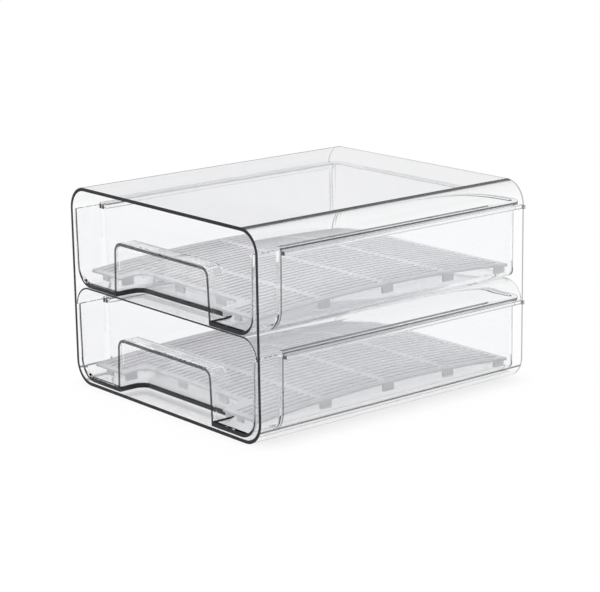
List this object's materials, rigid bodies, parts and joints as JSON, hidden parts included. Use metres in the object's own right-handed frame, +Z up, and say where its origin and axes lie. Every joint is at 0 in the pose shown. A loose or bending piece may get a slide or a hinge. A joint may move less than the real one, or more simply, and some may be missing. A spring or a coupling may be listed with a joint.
{
  "type": "fridge drawer organizer",
  "caption": "Clear two-tier organizer for a fridge shelf: an open-ended case with pull-out drawers, each with a finger pocket and a lift-out slotted drain tray.",
  "frame": {"origin": "centre of the bounding box's underside, on the surface that the case stands on", "axes": "+Z up, +X to the right seen from the front, -Y out of the open front, the way the drawers pull out"},
  "size_m": [0.21, 0.238, 0.142],
  "materials": {
    "clear_case": "clear, polished",
    "clear_shelf": "clear, polished",
    "clear_rail": "clear, polished",
    "clear_drawer": "clear, polished",
    "frosted_tray": "frosted translucent"
  },
  "bodies": {
    "case": {"case_shell": "clear_case", "mid_shelf": "clear_shelf", "upper_left_rail": "clear_rail", "upper_right_rail": "clear_rail", "lower_left_rail": "clear_rail", "lower_right_rail": "clear_rail"},
    "upper_drawer_body": {"upper_drawer": "clear_drawer"},
    "lower_drawer_body": {"lower_drawer": "clear_drawer"},
    "upper_tray_body": {"upper_drain_tray": "frosted_tray"},
    "lower_tray_body": {"lower_drain_tray": "frosted_tray"}
  },
  "joints": [
    {"name": "upper_drawer_slide", "type": "slide", "parent": "case", "child": "upper_drawer_body", "axis": [0, -1, 0], "range_m": [0, 0.17]},
    {"name": "lower_drawer_slide", "type": "slide", "parent": "case", "child": "lower_drawer_body", "axis": [0, -1, 0], "range_m": [0, 0.17]},
    {"name": "upper_tray_lift", "type": "slide", "parent": "upper_drawer_body", "child": "upper_tray_body", "axis": [0, 0, 1], "range_m": [0, 0.04]},
    {"name": "lower_tray_lift", "type": "slide", "parent": "lower_drawer_body", "child": "lower_tray_body", "axis": [0, 0, 1], "range_m": [0, 0.04]}
  ]
}
